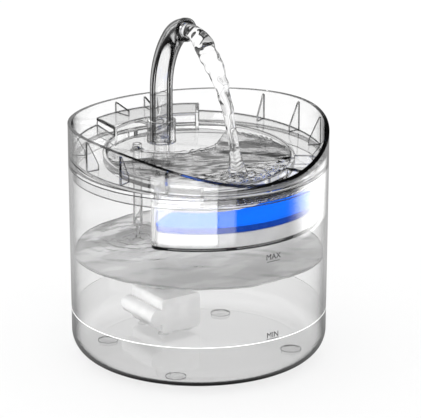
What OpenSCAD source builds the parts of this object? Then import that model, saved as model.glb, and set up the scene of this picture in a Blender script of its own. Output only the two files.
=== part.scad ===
// Pet water fountain: a clear reservoir, a drinking tray that lifts off it, a hanging filter box,
// a swan-neck faucet and a submersible pump. Millimetres, +Z up, front towards -Y, and the origin
// on the surface it stands on, at the middle of the reservoir.

/* [Reservoir] */
// Outer diameter at the seam between reservoir and tray
tank_d = 180; // [150:1:210]
// Height of the seam above the surface
seam_z = 139.2; // [116:0.2:160]
// How much narrower the radius is at the base, for moulding draft
tank_draft = 0.9; // [0:0.1:2]
// Wall thickness of the reservoir
tank_wall = 2.6; // [1.8:0.1:3.4]
// Thickness of the reservoir's floor
tank_floor = 2.4; // [2:0.1:5]
// Radius of the rounded edge at the base
base_fillet = 16; // [8:1:26]
// Width of the notch that the power cord leaves through
notch_w = 7; // [5:0.5:10]

/* [Feet] */
// Diameter of each silicone foot
foot_d = 14.5; // [10:0.5:18]
// How far a foot stands out of the base
foot_proud = 2.5; // [1:0.5:3]
// How deep a foot is set into the base
foot_recess = 1.2; // [0.8:0.1:1.6]
// Gap between a foot and the base's rounded edge
foot_margin = 0.8; // [0.2:0.1:4]
// Angle of the front feet from the front
foot_angle = 48; // [35:1:55]

/* [Tray] */
// Height of the rim at the front, above the seam
rim_front = 6; // [4:0.5:10]
// Height of the rim at its highest, at the sides
rim_side = 30; // [24:0.5:36]
// Height of the rim at the back
rim_back = 25.6; // [22:0.5:30]
// Wall thickness of the rim
rim_wall = 2.6; // [1.8:0.1:3.2]
// Thickness of the tray's floors
tray_floor = 2.2; // [1.6:0.1:3]
// Slope of the ledge and of the basin, down to the front, in degrees
tray_slope = 3.1; // [1:0.1:4]
// Height of the ledge above the seam, at the front
ledge_front = 2; // [1.6:0.1:4]
// Depth of the basin below the ledge
basin_depth = 5.7; // [4:0.1:6.5]
// Width of the ledge between the basin and the rim
ledge_w = 21.4; // [17:0.1:26]
// Reach of the drain trough to each side of the front, in degrees about the middle
trough_reach = 33; // [26:1:38]
// How much lower the basin's wall is where it spills into the drain trough
spill_drop = 1.5; // [0.5:0.1:2.5]
// Height of the raised platform at the back, above the seam
platform_rise = 16.1; // [13.4:0.1:18]
// Reach of the platform to the right of the back, in degrees about the middle
platform_right = 34; // [26:1:38]
// Reach of the platform to the left of the back, at the rim, in degrees about the middle
platform_left = 21; // [18:1:30]
// How far the platform's left end leans out from the middle, in degrees
platform_lean = 25; // [0:1:30]
// Depth of the spigot that drops into the reservoir
spigot_h = 7; // [5:0.5:10]
// Gap between the spigot and the reservoir's wall
spigot_gap = 0.4; // [0.3:0.1:0.8]

/* [Filter] */
// Radius of the filter box's curved back wall, about the middle
box_back_r = 48; // [40:0.2:56]
// Reach of the filter box to each side of the front, in degrees about the middle
box_reach = 58; // [50:0.5:64]
// Wall thickness of the filter box
box_wall = 1.8; // [1.4:0.1:2.4]
// Depth of the filter box below the seam
box_drop = 37.2; // [32:0.2:44]
// Radius of the filter box's corners
box_corner = 8; // [5:0.5:10]
// Gap between the filter box and the tray's skirt inside it
box_gap = 0.3; // [0.3:0.1:0.5]
// Gap between the filter and the box around it
filter_gap = 0.8; // [0.4:0.1:3]
// Radius of the filter's corners
filter_corner = 7.5; // [3:0.5:8]
// Thickness of the blue foam pad
foam_t = 5.6; // [4:0.1:7]
// Thickness of the white filter case
case_t = 9.6; // [8:0.1:11]

/* [Faucet] */
// Outer diameter of the faucet's tube
faucet_d = 16; // [12.6:0.1:17]
// Wall thickness of the faucet's tube
faucet_wall = 2.1; // [1.6:0.1:2.2]
// Distance from the basin's edge at the back to the middle of the faucet
faucet_inset = 19.4; // [16:0.1:24]
// Height above the seam where the neck starts to bend
neck_start = 39.4; // [36:0.2:50]
// Bend radius of the neck's long lower curve
neck_r1 = 64; // [50:1:80]
// Turn of the lower curve, in degrees
neck_turn1 = 42; // [30:1:50]
// Bend radius of the neck's tight upper curve
neck_r2 = 24; // [18:1:30]
// How far the faucet's mouth points up from the level, in degrees
neck_rise = 10; // [0:1:14]
// Running gap between the faucet and its collar
faucet_gap = 0.08; // [0.05:0.01:0.1]

/* [Pump] */
// Width of the pump's main box
pump_w = 32; // [30:0.5:36]
// Depth of the pump, front to back
pump_l = 40; // [33:0.5:44]
// Room between the impeller's chamber and the housing's walls above and below it
pump_room = 0.5; // [0.3:0.1:3]
// Height of the suction cups under the pump
cup_h = 3; // [3:0.2:5]
// Gap between the riser tube and the faucet around it
riser_gap = 0.5; // [0.3:0.05:1]
// Wall thickness of the riser tube
riser_wall = 0.95; // [0.8:0.05:1.2]
// Radius of the impeller
impeller_r = 8.4; // [7:0.1:10]
// Radius of the rotor magnet
magnet_r = 4.6; // [4:0.1:4.8]

/* [Overflow] */
// Outer diameter of the overflow pipe
pipe_d = 6.4; // [5:0.1:8]
// Height of the overflow pipe's lower end
pipe_low_z = 86; // [80:1:95]

/* [Hidden] */
$fn = 96;
over = 1;            // how far a cutter reaches past what it cuts

// reservoir
tank_r = tank_d / 2;
tank_base_z = foot_proud;
floor_z = tank_base_z + tank_floor;
tank_in_r = tank_r - tank_wall;
notch_h = spigot_h;
foot_slip = 0.1;     // between a foot and its recess
foot_taper = 0.5;
foot_circle_r = tank_r - tank_draft - base_fillet - foot_margin - foot_d / 2;

// tray
spigot_r = tank_in_r - spigot_gap;
spigot_wall = 2;
rim_spare = 10;      // height of plastic that the rim's curve cuts away
rim_in_r = tank_r - rim_wall;
basin_r = rim_in_r - ledge_w;
faucet_y = basin_r - faucet_inset;
shelf_h = 2;         // thickness of the step between spigot and rim wall
rim_peak_y = 8;      // where the rim is highest
rim_front_power = 2.5;
rim_back_power = 1.5;
rim_steps = 44;
ledge_z = seam_z + ledge_front + tank_r * tan(tray_slope);
basin_z = ledge_z - basin_depth;
basin_wall = 2;
platform_z = seam_z + platform_rise;
trough_depth = 5.6;  // from the basin's floor, at the middle, to the trough's floor
trough_floor_z = basin_z - trough_depth;
trough_wall = 1.8;
skirt_low_z = trough_floor_z - tray_floor;
skirt_wall = 2;
collar_wall = 2;
collar_top_z = platform_z + 2.3;
collar_seat_z = seam_z + 3.8;
collar_foot = 3;     // depth of solid plastic under the faucet's seat
tab_half = 8;
tab_fillet = 8;      // radius in the corners between the tab and the platform
rib_angles = [48, 70, 92, 114];
rib_reach = 8.6;
platform_rib_angle = 172;
platform_rib_reach = 14;
rib_t = 1.3;
rib_foot_h = 5;      // height of a rib at its inner end
rib_below_rim = 2.5;
riser_slip = 0.6;    // between the riser and the hole in the tray
drain_count = 13;
drain_r = 1.3;
drain_inset = 4;     // from the trough's outer wall to the row of drain holes
drain_share = 0.68;  // share of the trough's reach that the row takes up

// filter box and what it holds
box_clear = 0.9;     // between the box and the tray's spigot
box_r = spigot_r - spigot_wall - box_clear;
box_bottom_z = seam_z - box_drop;
box_floor_z = box_bottom_z + box_wall;
box_top_gap = 0.5;   // between the box's top and the tray above it
skirt_inset = box_wall + box_gap;
skirt_r = box_r - skirt_inset;
skirt_in_r = skirt_r - skirt_wall;
trough_in_r = basin_r - trough_wall;
trough_turn = min(trough_reach, box_reach - asin((skirt_inset + skirt_wall / 2) / trough_in_r));
drain_pitch = 2 * drain_share * trough_turn / (drain_count - 1);  // in degrees
box_top_z = basin_z + slope_at(-box_back_r - box_wall) - tray_floor / cos(tray_slope) - box_top_gap;
filter_inset = box_wall + filter_gap;
case_skin = 1.2;
carbon_t = 4;
bed_gap = 0.1;
slot_w = 2.4;
slot_pitch = 7;
slot_margin = 7;     // from a slot to the wall around it
slot_bar = 3;        // half the bar between two slots in a row
slot_count = 3;      // slots in a row

// faucet
faucet_r = faucet_d / 2;
faucet_in_r = faucet_r - faucet_wall;
collar_r = faucet_r + faucet_gap + collar_wall;
neck_z = seam_z + neck_start;
neck_turn2 = 90 - neck_turn1 - neck_rise;
lip_proud = 0.4;
lip_l = 2.6;
lip_lap = 0.8;       // how far the lip reaches back over the neck's end
bead = 0.05;         // height of the moulding bead over a joint in the neck, inside and out
bead_l = 0.4;
seal_h = 3;
seal_seat_r = faucet_in_r + 0.9;
seal_slip = 0.06;    // between the seal and the riser

// riser and pump
riser_r = faucet_in_r - riser_gap;
riser_in_r = riser_r - riser_wall;
riser_top_z = neck_z - 2;
pump_skin = 2;
volute_r = impeller_r + 1.8;
volute_l = 9.6;
volute_front_y = faucet_y - volute_l / 2;
volute_back_y = faucet_y + volute_l / 2;
motor_l = 11.1;      // from the impeller's chamber to the pump's back
pump_h = 2 * (volute_r + pump_room + pump_skin);
pump_z = floor_z + cup_h;
pump_top_z = pump_z + pump_h;
pump_back_y = volute_back_y + motor_l;
pump_front_y = pump_back_y - pump_l;
axis_z = pump_z + pump_h / 2;
pump_corner = 3;
cover_t = 2;
body_y = pump_front_y + cover_t;
cover_lip_l = 3;
cover_lip_t = 1.2;
cover_slip = 0.15;
slit_w = 1.6;
slit_pitch = 4;
slit_rows = 1;       // on each side of the middle one
slit_end = 1;        // from a slit to the parts in front of it and behind it
sponge_slip = 0.3;
plate_t = 1.6;       // volute's cover plate
plate_slip = 0.1;
eye_r = 1.8;
eye_circle_r = 3.8;
chamber_w = pump_w - 2 * pump_skin;
chamber_h = pump_h - 2 * pump_skin;
chamber_corner = pump_corner - 1;
lobe_r = 6;
lobe_x = -pump_w / 2 - 3.2;
lobe_flat = 4;       // half the height of the web between the cord channel and the main box
cup_wall = 0.9;      // wall between the wet rotor and the dry stator
rotor_gap = 0.8;     // between the rotor and the walls around it
rotor_cup_r = magnet_r + rotor_gap;
potting_t = 1.6;
potting_slip = 0.05;
cup_end_gap = 0.5;   // between the rotor cup and the potting
rotor_cup_l = pump_back_y - volute_back_y - cup_wall - cup_end_gap - potting_t;
stator_slip = 0.05;
stator_in_r = rotor_cup_r + cup_wall + 0.2;
stator_out_r = chamber_h / 2 - stator_slip;
motor_front_y = volute_back_y + cup_wall;
stator_t = 4;
yoke_t = 1.6;
pole_w = 4;
coil_t = 1.6;
coil_gap = 0.25;
coil_inset = 0.4;
shaft_r = 0.9;
shaft_slip = 0.03;
bush_r = 2.2;
bush_t = 1.2;
rotor_slip = 0.05;   // between the rotor and the shaft
rotor_end_gap = 0.5;
hub_r = 2.6;
blade_root = 0.6;    // depth of a blade's root in the hub
blade_t = 1;
blade_count = 6;
blade_w = 5.2;
disc_t = 1;
nozzle_h = 11;
nozzle_slip = 0.05;
nozzle_r = riser_in_r - nozzle_slip;
nozzle_in_r = nozzle_r - 1;
cord_r = 2;
cord_slot = 2;       // slot from the cord channel to the motor
channel_y = motor_front_y + 1;
gland_r = 3.4;
gland_slip = 0.05;
gland_l = 9;
gland_head_r = 4.4;
gland_head_l = 3;
sucker_r = 4;
sucker_stem_r = 2;
sucker_lip_h = 2.2;
sucker_inset = 6;
sucker_plug = 1.2;   // how far a suction cup's stem is set into the housing
sucker_hollow_h = 1.3;

// overflow pipe
pipe_x = -24;
pipe_y = faucet_y - 5.6;
pipe_wall = 1;
pipe_slip = 0.05;
pipe_above = 3;      // how far the pipe stands above the basin's floor
pipe_flange_r = 5;
pipe_flange_t = 1.5;
pipe_flange_gap = 0.6;

// ---- shapes that are used again ----

function slope_at(y) = y * tan(tray_slope);
function rim_z(y) = seam_z + (y < rim_peak_y
    ? rim_side - (rim_side - rim_front) * pow((rim_peak_y - y) / (rim_peak_y + tank_r), rim_front_power)
    : rim_side - (rim_side - rim_back) * pow((y - rim_peak_y) / (tank_r - rim_peak_y), rim_back_power));

// A flat ring that stands on z = 0.
module ring(r_out, r_in, h) {
    difference() {
        cylinder(r = r_out, h = h);
        translate([0, 0, -over]) cylinder(r = r_in, h = h + 2 * over);
    }
}

// A rectangle with round corners, made of true circles.
module round_rect(w, h, r) {
    square([w - 2 * r, h], center = true);
    square([w, h - 2 * r], center = true);
    for (sx = [-1, 1], sy = [-1, 1])
        translate([sx * (w / 2 - r), sy * (h / 2 - r)]) circle(r);
}

// The filter box's plan, moved in by an inset all round: an arc-shaped band with round corners. A
// corner's own circle reaches a hair past the large one, so that the two cross instead of touching.
module band(inset, corner) {
    hair = 0.05;
    lap = 1;
    out_r = box_r - inset;
    in_r = box_back_r + inset;
    side = inset + corner;
    out_at = floor(100 * sqrt(pow(out_r - corner + hair, 2) - pow(side, 2))) / 100;
    in_at = floor(100 * sqrt(pow(in_r + corner - hair, 2) - pow(side, 2))) / 100;
    apex = side / sin(box_reach);
    far = 3 * out_r;
    intersection() {
        difference() {
            circle(out_r, $fn = 180);
            circle(in_r, $fn = 180);
        }
        union() {
            polygon([[0, -apex], [-far * sin(box_reach), -apex - far * cos(box_reach)],
                     [far * sin(box_reach), -apex - far * cos(box_reach)]]);
            for (end = [-1, 1]) rotate([0, 0, end * box_reach]) {
                translate([end > 0 ? -side - lap : inset, -out_at])
                    square([corner + lap, out_at - in_at]);
                for (at = [in_at, out_at])
                    translate([-end * side, -at]) circle(corner);
            }
        }
    }
}

// A plate that slopes down to the front; its top passes through z at the middle.
module sloped_plate(z, t) {
    translate([0, 0, z]) rotate([tray_slope, 0, 0]) translate([0, 0, -t])
        cylinder(r = 1.3 * tank_r, h = t);
}

// Everything between two heights that slope down to the front.
module sloped_slab(z_low, z_high) {
    sloped_plate(z_high, (z_high - z_low) * cos(tray_slope));
}

// The outline of a reservoir seen from the side, from its middle line outwards.
module vessel_half(r_base, r_top, z_low, z_high, fillet) {
    polygon([[0, z_low], [r_base - fillet, z_low], [r_base - fillet, z_low + fillet],
             [r_base, z_low + fillet], [r_top, z_high], [0, z_high]]);
    intersection() {
        translate([r_base - fillet, z_low + fillet]) circle(fillet);
        translate([r_base - fillet, z_low]) square([fillet, fillet]);
    }
}

// A cylinder that runs along +Y from a point.
module rod_y(r, l) {
    rotate([-90, 0, 0]) cylinder(r = r, h = l);
}

// ---- reservoir ----

module at_feet() {
    for (a = [foot_angle, 180 - foot_angle, 180 + foot_angle, 360 - foot_angle])
        rotate([0, 0, a]) translate([0, -foot_circle_r, 0]) children();
}

module tank() {
    color([0.9, 0.93, 0.95, 0.35]) difference() {
        rotate_extrude($fn = 180) difference() {
            vessel_half(tank_r - tank_draft, tank_r, tank_base_z, seam_z, base_fillet);
            vessel_half(tank_in_r - tank_draft, tank_in_r, floor_z, seam_z, base_fillet - tank_wall);
        }
        at_feet() translate([0, 0, tank_base_z - over]) cylinder(r = foot_d / 2, h = foot_recess + over);
        translate([-notch_w / 2, tank_in_r - over - tank_draft, seam_z - notch_h])
            cube([notch_w, tank_wall + tank_draft + 2 * over, notch_h + over]);
    }
}

module tank_feet() {
    color([0.93, 0.93, 0.93]) at_feet() {
        cylinder(r1 = foot_d / 2 - foot_slip - foot_taper, r2 = foot_d / 2 - foot_slip, h = foot_proud);
        translate([0, 0, foot_proud]) cylinder(r = foot_d / 2 - foot_slip, h = foot_recess);
    }
}

// ---- tray ----

module rim_cutter() {
    reach = tank_r + 2;
    top = seam_z + rim_side + 2 * rim_spare;
    rotate([90, 0, 90]) translate([0, 0, -reach]) linear_extrude(2 * reach)
        polygon(concat(
            [for (i = [0:rim_steps]) let (y = -reach + 2 * reach * i / rim_steps)
                [y, rim_z(max(-tank_r, min(tank_r, y)))]],
            [[reach, top], [-reach, top]]));
}

module rim_wall_and_spigot() {
    difference() {
        rotate_extrude($fn = 180) polygon([
            [spigot_r - spigot_wall, seam_z - spigot_h], [spigot_r, seam_z - spigot_h],
            [spigot_r, seam_z], [tank_r, seam_z], [tank_r, seam_z + rim_side + rim_spare],
            [rim_in_r, seam_z + rim_side + rim_spare], [rim_in_r, seam_z + shelf_h],
            [spigot_r - spigot_wall, seam_z + shelf_h]]);
        rim_cutter();
    }
}

// The space between two radii, from one angle on to another, drawn in by a wall at its ends.
module arc_plan(r_in, r_out, from, to, inset) {
    reach = 1.5 * tank_r;
    difference() {
        circle(r_out, $fn = 180);
        circle(r_in, $fn = 180);
        rotate([0, 0, to]) translate([-reach, -inset]) square(2 * reach);
        rotate([0, 0, from]) translate([-reach, inset - 2 * reach]) square(2 * reach);
    }
}

// The platform reaches from its right end to its left one, whose line turns about a point at the rim.
module platform_plan(r_in, r_out, inset) {
    reach = 1.5 * tank_r;
    difference() {
        arc_plan(r_in, r_out, 90 - platform_right, 180, inset);
        translate(rim_in_r * [-sin(platform_left), cos(platform_left)])
            rotate([0, 0, 90 + platform_left - platform_lean])
                translate([-reach, -inset]) square(2 * reach);
    }
}

// The tab that carries the collar, with a fillet in each corner beside it.
module tab_plan() {
    corner_y = sqrt(pow(basin_r - basin_wall / 2, 2) - pow(tab_half, 2));
    translate([-tab_half, faucet_y]) square([2 * tab_half, basin_r - faucet_y]);
    difference() {
        translate([-tab_half - tab_fillet, corner_y - tab_fillet])
            square([2 * (tab_half + tab_fillet), tab_fillet]);
        for (side = [-1, 1])
            translate([side * (tab_half + tab_fillet), corner_y - tab_fillet]) circle(tab_fillet);
    }
}

module trough_plan(r_in, r_out, inset) {
    arc_plan(r_in, r_out, -90 - trough_turn, -90 + trough_turn, inset);
}

// A gusset between the rim and the floor inside it; its foot is sunk into that floor, whose top
// lies at floor_at beside the rim and at floor_in below the gusset's inner end.
module rib(angle, reach, floor_at, floor_in) {
    low = min(floor_at, floor_in) - tray_floor / 2;
    high = rim_z(-rim_in_r * cos(angle)) - rib_below_rim;
    rotate([0, 0, angle]) translate([-rib_t / 2, 0, 0]) rotate([90, 0, 90]) linear_extrude(rib_t)
        polygon([[-rim_in_r - rim_wall / 2, low], [-rim_in_r - rim_wall / 2, high], [-rim_in_r + 1, high],
                 [-rim_in_r + reach, min(high, low + rib_foot_h)], [-rim_in_r + reach, low]]);
}

module ribs() {
    for (side = [-1, 1]) {
        for (a = rib_angles)
            rib(side * a, rib_reach, ledge_z + slope_at(-rim_in_r * cos(a)),
                ledge_z + slope_at(-(rim_in_r - rib_reach) * cos(a)));
        rib(side * platform_rib_angle, platform_rib_reach, platform_z, platform_z);
    }
}

// The row of drain holes in the trough's floor.
module drain_holes() {
    circle_r = skirt_in_r - drain_inset;
    for (i = [0:drain_count - 1])
        rotate([0, 0, (i - (drain_count - 1) / 2) * drain_pitch])
            translate([0, -circle_r, skirt_low_z - over])
                cylinder(r = drain_r, h = tray_floor + 2 * over, $fn = 24);
}

// The wall under the tray that the filter box pushes onto; it reaches up into the basin's floor
// and, outside the basin, into the ledge.
module skirt() {
    intersection() {
        translate([0, 0, skirt_low_z]) linear_extrude(ledge_z - skirt_low_z) difference() {
            band(skirt_inset, box_corner - skirt_inset);
            band(skirt_inset + skirt_wall, box_corner - skirt_inset - skirt_wall / 2);
        }
        union() {
            sloped_slab(0, basin_z - tray_floor / 2);
            difference() {
                sloped_slab(0, ledge_z - tray_floor / 2);
                cylinder(r = basin_r - basin_wall / 2, h = 2 * seam_z);
            }
        }
    }
}

module tray() {
    color([0.9, 0.93, 0.95, 0.35]) difference() {
        union() {
            rim_wall_and_spigot();
            // ledge between the basin and the rim
            intersection() {
                sloped_plate(ledge_z, tray_floor);
                translate([0, 0, seam_z]) ring(rim_in_r + rim_wall / 2, basin_r - basin_wall / 2, seam_z);
            }
            // basin: its wall and its floor
            intersection() {
                sloped_slab(basin_z - tray_floor, ledge_z);
                ring(basin_r, basin_r - basin_wall, 2 * seam_z);
            }
            intersection() {
                sloped_plate(basin_z, tray_floor);
                cylinder(r = basin_r - basin_wall / 2, h = 2 * seam_z);
            }
            // drain trough between the basin and the rim, and the skirt around the filter
            intersection() {
                translate([0, 0, skirt_low_z]) linear_extrude(ledge_z - skirt_low_z)
                    trough_plan(trough_in_r, skirt_r - skirt_wall / 2, 0);
                sloped_slab(0, ledge_z - tray_floor / 2);
            }
            skirt();
            // platform at the back, and the tab that carries the collar
            translate([0, 0, basin_z]) linear_extrude(platform_z - basin_z)
                platform_plan(basin_r - basin_wall, rim_in_r + rim_wall / 2, 0);
            translate([0, 0, platform_z - tray_floor]) linear_extrude(tray_floor) tab_plan();
            translate([0, faucet_y, collar_seat_z - collar_foot])
                cylinder(r = collar_r, h = collar_top_z - collar_seat_z + collar_foot);
            ribs();
        }
        // hollow under the platform
        translate([0, 0, seam_z + shelf_h]) linear_extrude(platform_z - tray_floor - seam_z - shelf_h)
            platform_plan(basin_r, rim_in_r, basin_wall);
        translate([0, 0, seam_z - spigot_h]) linear_extrude(spigot_h + shelf_h + over)
            platform_plan(basin_r, spigot_r - spigot_wall, basin_wall);
        // drain trough's hollow, its drain holes, and the lower edge that the basin spills over
        translate([0, 0, trough_floor_z]) linear_extrude(2 * rim_side)
            trough_plan(basin_r, skirt_in_r, trough_wall);
        drain_holes();
        difference() {
            translate([0, 0, trough_floor_z]) linear_extrude(2 * rim_side)
                trough_plan(basin_r - basin_wall - over, basin_r + over, 2 * trough_wall);
            sloped_slab(0, ledge_z - spill_drop);
        }
        // faucet's bore, and the hole that the riser comes up through
        translate([0, faucet_y, collar_seat_z]) cylinder(r = faucet_r + faucet_gap, h = 2 * rim_side);
        translate([0, faucet_y, seam_z - spigot_h]) cylinder(r = riser_r + riser_slip, h = 2 * rim_side);
        // hole for the overflow pipe
        translate([pipe_x, pipe_y, seam_z - spigot_h]) cylinder(r = pipe_d / 2 + pipe_slip, h = 2 * rim_side);
        // notch for the cord in the spigot
        translate([-notch_w / 2, spigot_r - spigot_wall - over, seam_z - spigot_h - over])
            cube([notch_w, spigot_wall + 2 * over, spigot_h + over]);
    }
}

module overflow_pipe() {
    floor_top = basin_z + slope_at(pipe_y);
    flange_z = floor_top - tray_floor - pipe_flange_gap - pipe_flange_t;
    bore_r = pipe_d / 2 - pipe_wall;
    color([0.9, 0.93, 0.95, 0.35]) translate([pipe_x, pipe_y, 0]) {
        translate([0, 0, pipe_low_z]) ring(pipe_d / 2, bore_r, floor_top + pipe_above - pipe_low_z);
        translate([0, 0, flange_z]) ring(pipe_flange_r, bore_r, pipe_flange_t);
    }
}

// ---- filter box and filter ----

// Rows of curved slots through a floor whose plan is the band with this inset.
module slots(inset, z, t) {
    low_r = box_back_r + inset + slot_margin;
    rows = floor((box_r - inset - slot_margin - slot_w - low_r) / slot_pitch);
    turn = (box_reach - asin((inset + slot_margin - slot_bar) / low_r)) / slot_count;
    translate([0, 0, z - over]) linear_extrude(t + 2 * over)
        for (i = [0:rows], k = [0:slot_count - 1]) rotate([0, 0, (2 * k - slot_count + 1) * turn])
            arc_plan(low_r + i * slot_pitch, low_r + i * slot_pitch + slot_w, -90 - turn, -90 + turn,
                     slot_bar);
}

module filter_box() {
    color([0.9, 0.93, 0.95, 0.35]) difference() {
        translate([0, 0, box_bottom_z]) linear_extrude(box_top_z - box_bottom_z)
            band(0, box_corner);
        translate([0, 0, box_floor_z]) linear_extrude(box_top_z - box_floor_z + over)
            band(box_wall, box_corner - box_wall);
        slots(box_wall, box_bottom_z, box_wall);
    }
}

module filter_case() {
    color("white") difference() {
        filter_layer(box_floor_z, case_t, 0);
        filter_layer(box_floor_z + case_skin, case_t - 2 * case_skin, case_skin);
        slots(filter_inset, box_floor_z, case_skin);
        slots(filter_inset, box_floor_z + case_t - case_skin, case_skin);
    }
}

// A slab with the filter's plan, drawn in by an inset.
module filter_layer(z, t, inset) {
    translate([0, 0, z]) linear_extrude(t) band(filter_inset + inset, filter_corner - inset);
}

module carbon_bed() {
    color("black") filter_layer(box_floor_z + case_skin, carbon_t, case_skin + bed_gap);
}

module resin_bed() {
    low = box_floor_z + case_skin + carbon_t;
    color("orange") filter_layer(low, box_floor_z + case_t - case_skin - low, case_skin + bed_gap);
}

module foam_pad() {
    color([0.05, 0.35, 0.95]) filter_layer(box_floor_z + case_t, foam_t, 0);
}

// ---- faucet ----

module tube_section() {
    difference() {
        circle(faucet_r);
        circle(faucet_in_r);
    }
}

// One bend of the neck: it leaves the origin along +Z and curls towards -Y.
module bend(bend_r, turn) {
    translate([0, -bend_r, 0]) rotate([90, 0, 90]) rotate_extrude(angle = turn)
        translate([bend_r, 0]) tube_section();
}

// Places its children at the end of such a bend.
module past_bend(bend_r, turn) {
    translate([0, -bend_r * (1 - cos(turn)), bend_r * sin(turn)]) rotate([turn, 0, 0]) children();
}

module faucet() {
    color([0.9, 0.93, 0.95, 0.35]) translate([0, faucet_y, collar_seat_z]) difference() {
        union() {
            linear_extrude(neck_z - collar_seat_z) tube_section();
            translate([0, 0, neck_z - collar_seat_z]) {
                bend(neck_r1, neck_turn1);
                past_bend(neck_r1, neck_turn1) {
                    translate([0, 0, -bead_l / 2]) ring(faucet_r + bead, faucet_in_r - bead, bead_l);
                    bend(neck_r2, neck_turn2);
                    past_bend(neck_r2, neck_turn2) translate([0, 0, -lip_lap])
                        ring(faucet_r + lip_proud, faucet_in_r - bead, lip_l);
                }
            }
        }
        translate([0, 0, -over]) cylinder(r = seal_seat_r, h = seal_h + over);
    }
}

module faucet_seal() {
    color([0.93, 0.93, 0.93]) translate([0, faucet_y, collar_seat_z])
        ring(seal_seat_r, riser_r + seal_slip, seal_h);
}

// ---- riser and pump ----

module riser_tube() {
    color([0.9, 0.93, 0.95, 0.5]) translate([0, faucet_y, pump_top_z])
        ring(riser_r, riser_in_r, riser_top_z - pump_top_z);
}

// The pump's outline seen from the front: a rounded box with the cord channel at its left side.
module pump_outline() {
    translate([0, axis_z]) round_rect(pump_w, pump_h, pump_corner);
    translate([lobe_x, axis_z]) circle(lobe_r);
    translate([lobe_x, axis_z - lobe_flat]) square([-pump_w / 2 - lobe_x + pump_skin, 2 * lobe_flat]);
}

// The outline of the chambers inside it, drawn in by a clearance.
module chamber_outline(inset = 0) {
    translate([0, axis_z])
        round_rect(chamber_w - 2 * inset, chamber_h - 2 * inset, chamber_corner - inset);
}

// Children drawn in X and Z, as an extrusion from y towards the back.
module along_y(y, l) {
    translate([0, y + l, 0]) rotate([90, 0, 0]) linear_extrude(l) children();
}

// A rod about the rotor's axis.
module axial_rod(y, r, l) {
    translate([0, y, axis_z]) rod_y(r, l);
}

module at_suckers() {
    for (sx = [-1, 1], y = [body_y + sucker_inset, pump_back_y - sucker_inset])
        translate([sx * (pump_w / 2 - sucker_inset), y, 0]) children();
}

module pump_housing() {
    color("white") difference() {
        union() {
            along_y(body_y, pump_back_y - body_y) pump_outline();
            translate([0, faucet_y, axis_z]) cylinder(r = nozzle_r, h = pump_top_z - axis_z + nozzle_h);
        }
        // intake chamber, volute and rotor cup, front to back, and the nozzle's bore
        along_y(body_y - over, volute_front_y - body_y + over) chamber_outline();
        axial_rod(volute_front_y - over, volute_r, volute_l + over);
        axial_rod(volute_back_y - over, rotor_cup_r, rotor_cup_l + over);
        translate([0, faucet_y, axis_z]) cylinder(r = nozzle_in_r, h = pump_h + nozzle_h);
        // dry motor chamber, open to the back, around the rotor cup
        difference() {
            along_y(motor_front_y, pump_back_y - motor_front_y + over) chamber_outline();
            axial_rod(motor_front_y - over, rotor_cup_r + cup_wall, rotor_cup_l + over);
        }
        // intake slits, through the floor of the intake chamber
        for (i = [-slit_rows:slit_rows])
            translate([i * slit_pitch - slit_w / 2, body_y + cover_lip_l + slit_end, pump_z - over])
                cube([slit_w, volute_front_y - plate_t - body_y - cover_lip_l - 2 * slit_end,
                      pump_skin + 2 * over]);
        at_suckers() translate([0, 0, pump_z - over])
            cylinder(r = sucker_stem_r, h = sucker_plug + over, $fn = 48);
        // cord channel, and the slot from it to the motor
        translate([lobe_x, channel_y, axis_z]) rod_y(gland_r, pump_l);
        translate([lobe_x, channel_y, axis_z - cord_slot / 2])
            cube([-chamber_w / 2 - lobe_x + over, cord_slot, cord_slot]);
    }
}

module intake_cover() {
    color("white") {
        along_y(pump_front_y, cover_t) pump_outline();
        // lip that plugs into the intake chamber
        along_y(body_y, cover_lip_l) difference() {
            chamber_outline(cover_slip);
            chamber_outline(cover_slip + cover_lip_t);
        }
    }
}

module intake_sponge() {
    y = body_y + cover_lip_l + sponge_slip;
    color("dimgray") along_y(y, volute_front_y - plate_t - sponge_slip - y) chamber_outline(sponge_slip);
}

module volute_cover() {
    y = volute_front_y - plate_t;
    color("white") difference() {
        along_y(y, plate_t) chamber_outline(plate_slip);
        // eyes that the water enters through, around the shaft's seat
        for (a = [0:120:240])
            translate([eye_circle_r * sin(a), y - over, axis_z + eye_circle_r * cos(a)])
                rod_y(eye_r, plate_t + 2 * over);
        axial_rod(y - over, shaft_r + shaft_slip, plate_t + 2 * over);
    }
}

module impeller() {
    disc_y = volute_back_y - rotor_gap - disc_t;
    blade_l = impeller_r - hub_r + blade_root;
    color("white") difference() {
        union() {
            axial_rod(disc_y, impeller_r, disc_t);
            axial_rod(disc_y - blade_w, hub_r, blade_w + disc_t);
            for (i = [0:blade_count - 1])
                translate([0, 0, axis_z]) rotate([0, i * 360 / blade_count, 0])
                    translate([hub_r - blade_root, disc_y - blade_w, -blade_t / 2])
                        cube([blade_l - blade_root, blade_w + disc_t / 2, blade_t]);
        }
        axial_rod(disc_y - blade_w - over, shaft_r + rotor_slip, blade_w + disc_t + 2 * over);
    }
}

module rotor_magnet() {
    y = volute_back_y - rotor_gap;
    l = rotor_cup_l - bush_t - rotor_end_gap + rotor_gap;
    color([0.2, 0.2, 0.22]) difference() {
        axial_rod(y, magnet_r, l);
        axial_rod(y - over, shaft_r + rotor_slip, l + 2 * over);
    }
}

module rotor_shaft() {
    y = volute_front_y - plate_t;
    color("ivory") axial_rod(y, shaft_r, volute_back_y + rotor_cup_l - y);
}

module shaft_bushes() {
    color([0.15, 0.15, 0.15]) for (y = [volute_front_y, volute_back_y + rotor_cup_l - bush_t])
        difference() {
            axial_rod(y, bush_r, bush_t);
            axial_rod(y - over, shaft_r + shaft_slip, bush_t + 2 * over);
        }
}

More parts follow.
